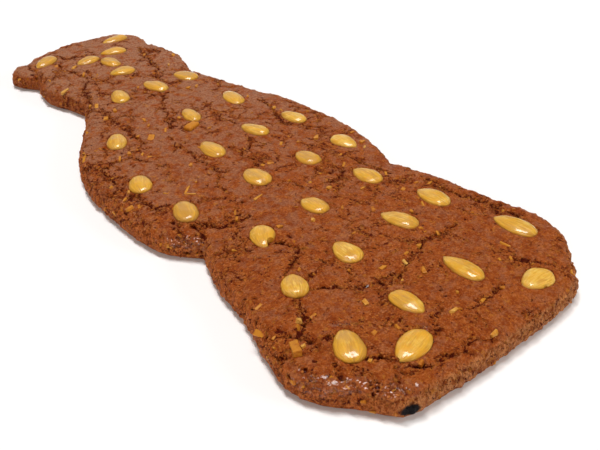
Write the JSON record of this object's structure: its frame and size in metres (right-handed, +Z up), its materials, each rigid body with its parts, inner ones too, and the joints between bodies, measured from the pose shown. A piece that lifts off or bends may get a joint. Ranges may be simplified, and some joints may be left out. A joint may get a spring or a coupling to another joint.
{
  "type": "speculaas figure cookie",
  "caption": "Thick spiced biscuit cut to the outline of a person in a hat and long skirt, with a face and body studded with whole blanched almonds.",
  "frame": {"origin": "middle of the underside's bounding box, on the surface the cookie lies on", "axes": "+Y from the hem of the skirt towards the hat, +X across the figure, +Z up out of the decorated face"},
  "size_m": [0.207, 0.5, 0.0186],
  "materials": {
    "baked_dough": "matte, cracked and crumbly, with smooth satin plateaus",
    "blanched_almond": "glazed satin"
  },
  "bodies": {
    "root": {"dough": "baked_dough", "almond_hat_1": "blanched_almond", "almond_hat_2": "blanched_almond", "almond_eye_1": "blanched_almond", "almond_eye_2": "blanched_almond", "almond_nose_1": "blanched_almond", "almond_mouth_1": "blanched_almond", "almond_collar_1": "blanched_almond", "almond_collar_2": "blanched_almond", "almond_collar_3": "blanched_almond", "almond_shoulder_1": "blanched_almond", "almond_shoulder_2": "blanched_almond", "almond_shoulder_3": "blanched_almond", "almond_chest_1": "blanched_almond", "almond_chest_2": "blanched_almond", "almond_chest_3": "blanched_almond", "almond_chest_4": "blanched_almond", "almond_belly_1": "blanched_almond", "almond_belly_2": "blanched_almond", "almond_belly_3": "blanched_almond", "almond_belly_4": "blanched_almond", "almond_waist_1": "blanched_almond", "almond_waist_2": "blanched_almond", "almond_waist_3": "blanched_almond", "almond_hip_1": "blanched_almond", "almond_hip_2": "blanched_almond", "almond_hip_3": "blanched_almond", "almond_hip_4": "blanched_almond", "almond_skirt_1": "blanched_almond", "almond_skirt_2": "blanched_almond", "almond_skirt_3": "blanched_almond", "almond_skirt_4": "blanched_almond", "almond_hem_1": "blanched_almond", "almond_hem_2": "blanched_almond"}
  },
  "joints": []
}
